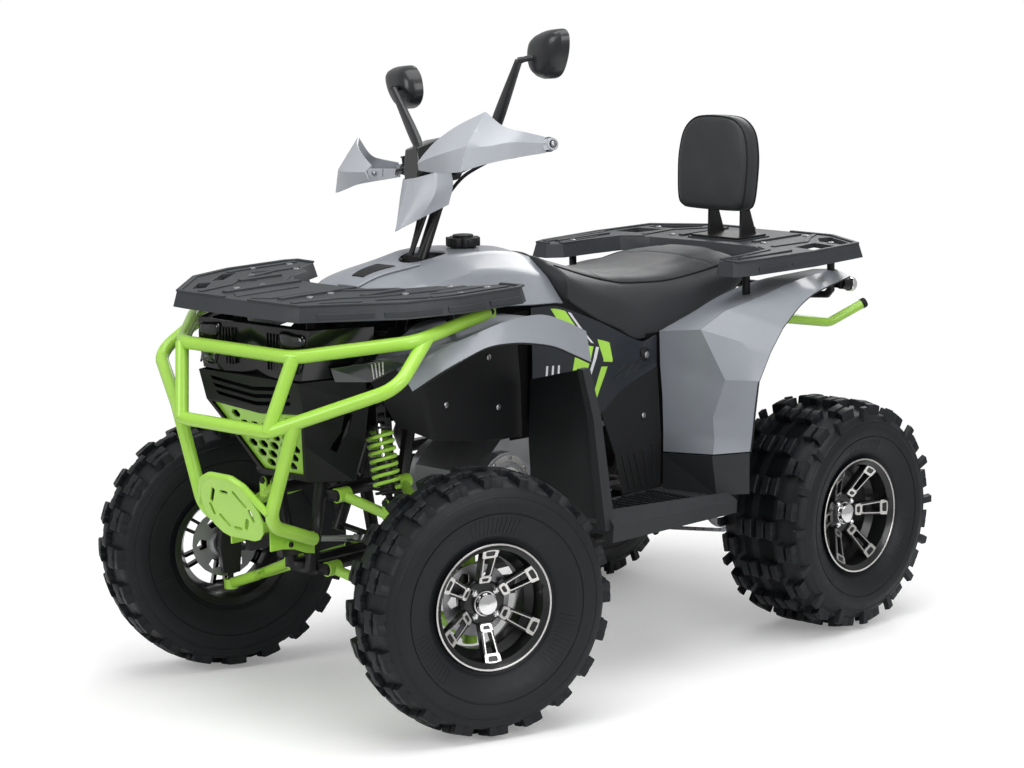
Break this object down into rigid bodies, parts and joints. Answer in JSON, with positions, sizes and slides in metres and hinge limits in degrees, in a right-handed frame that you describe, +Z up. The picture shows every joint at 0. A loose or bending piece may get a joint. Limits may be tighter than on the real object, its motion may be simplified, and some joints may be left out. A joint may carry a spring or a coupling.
{
  "type": "quad bike",
  "caption": "Quad bike with tube bumper, two racks, backrest, steered front wheels with tie rods, handlebar, mirrors and a chain-driven rear axle.",
  "frame": {"origin": "on the ground, midway between the axles, at the middle of the width", "axes": "+X forward, +Y the rider's left, +Z up"},
  "size_m": [1.9691, 1.2428, 1.5014],
  "materials": {
    "lime_paint": "powder coat, semi-gloss",
    "grey_panel": "painted, semi-gloss",
    "pale_panel": "painted, semi-gloss",
    "rack_plastic": "fine grain",
    "black_plastic": "satin",
    "black_gloss": "gloss",
    "navy_panel": "semi-gloss with a printed pattern",
    "floor_plastic": "fine grain",
    "black_metal": "satin",
    "rim_black": "gloss with machined edges",
    "alloy": "cast",
    "steel": "machined",
    "tyre": "matt",
    "rubber": "matt",
    "saddle_vinyl": "soft sheen",
    "lamp": "smoked, clear"
  },
  "bodies": {
    "chassis": {"backrest": "saddle_vinyl", "backrest_bracket": "black_metal", "drive_chain": "steel", "engine": "alloy", "exhaust": "steel", "footwells": "floor_plastic", "frame": "black_metal", "front_bumper": "lime_paint", "front_dampers": "steel", "front_fenders": "grey_panel", "front_rack": "rack_plastic", "front_springs": "lime_paint", "fuel_cap": "black_plastic", "fuel_tank": "black_plastic", "grille": "lime_paint", "heel_panels": "black_gloss", "inner_guards": "black_plastic", "lower_lamps": "lamp", "nose_cover": "black_plastic", "nose_cowl": "black_gloss", "rear_bar": "lime_paint", "rear_damper": "lime_paint", "rear_fenders": "grey_panel", "rear_rack": "rack_plastic", "seat": "saddle_vinyl", "side_panels": "navy_panel", "swingarm": "black_metal", "tail_lamps": "lamp", "tank_cover": "grey_panel", "upper_lamps": "lamp", "wishbones": "lime_paint"},
    "steering": {"bar_cables": "rubber", "bar_fairing": "grey_panel", "controls": "black_plastic", "grips": "rubber", "hand_guards": "pale_panel", "handlebar": "black_metal", "meter_pod": "black_plastic", "mirrors": "black_gloss"},
    "knuckle_left": {"knuckle_left": "black_metal"},
    "tie_rod_left": {"tie_rod_left": "steel"},
    "wheel_front_left": {"front_hub_left": "steel", "front_rim_left": "rim_black", "front_tyre_left": "tyre"},
    "knuckle_right": {"knuckle_right": "black_metal"},
    "tie_rod_right": {"tie_rod_right": "steel"},
    "wheel_front_right": {"front_hub_right": "steel", "front_rim_right": "rim_black", "front_tyre_right": "tyre"},
    "rear_wheels": {"rear_axle": "steel", "rear_disc": "steel", "rear_rims": "rim_black", "rear_sprocket": "steel", "rear_tyres": "tyre"}
  },
  "joints": [
    {"name": "steering", "type": "hinge", "parent": "chassis", "child": "steering", "pos_m": [0.3, 0, 1.062], "axis": [-0.4384, 0, 0.8988], "range_deg": [-11.5, 52.5]},
    {"name": "steer_left", "type": "hinge", "parent": "chassis", "child": "knuckle_left", "pos_m": [0.6115, 0.395, 0.292], "axis": [0, 0, 1], "range_deg": [-11.5, 52.5]},
    {"name": "tie_left", "type": "hinge", "parent": "steering", "child": "tie_rod_left", "pos_m": [0.58312, 0.04045, 0.36503], "axis": [-0.4384, 0, 0.8988], "range_deg": [-55.6, 12.3]},
    {"name": "spin_front_left", "type": "hinge", "parent": "knuckle_left", "child": "wheel_front_left", "pos_m": [0.62712, 0.4425, 0.292], "axis": [0.3123, 0.95, 0], "continuous": true},
    {"name": "steer_right", "type": "hinge", "parent": "chassis", "child": "knuckle_right", "pos_m": [0.6115, -0.395, 0.292], "axis": [0, 0, 1], "range_deg": [-11.5, 52.5]},
    {"name": "tie_right", "type": "hinge", "parent": "steering", "child": "tie_rod_right", "pos_m": [0.57052, 0.00298, 0.35889], "axis": [-0.4384, 0, 0.8988], "range_deg": [-55.6, 12.3]},
    {"name": "spin_front_right", "type": "hinge", "parent": "knuckle_right", "child": "wheel_front_right", "pos_m": [0.59212, -0.44109, 0.292], "axis": [0.3875, 0.9219, 0], "continuous": true},
    {"name": "spin_rear", "type": "hinge", "parent": "chassis", "child": "rear_wheels", "pos_m": [-0.6115, 0, 0.28], "axis": [0, 1, 0], "continuous": true}
  ],
  "couplings": [
    {"joint": "steer_left", "follows": "steering", "ratio": 1},
    {"joint": "steer_right", "follows": "steering", "ratio": 1},
    {"joint": "tie_left", "follows": "steering", "ratio": -1.055},
    {"joint": "tie_right", "follows": "steering", "ratio": -1.055}
  ]
}
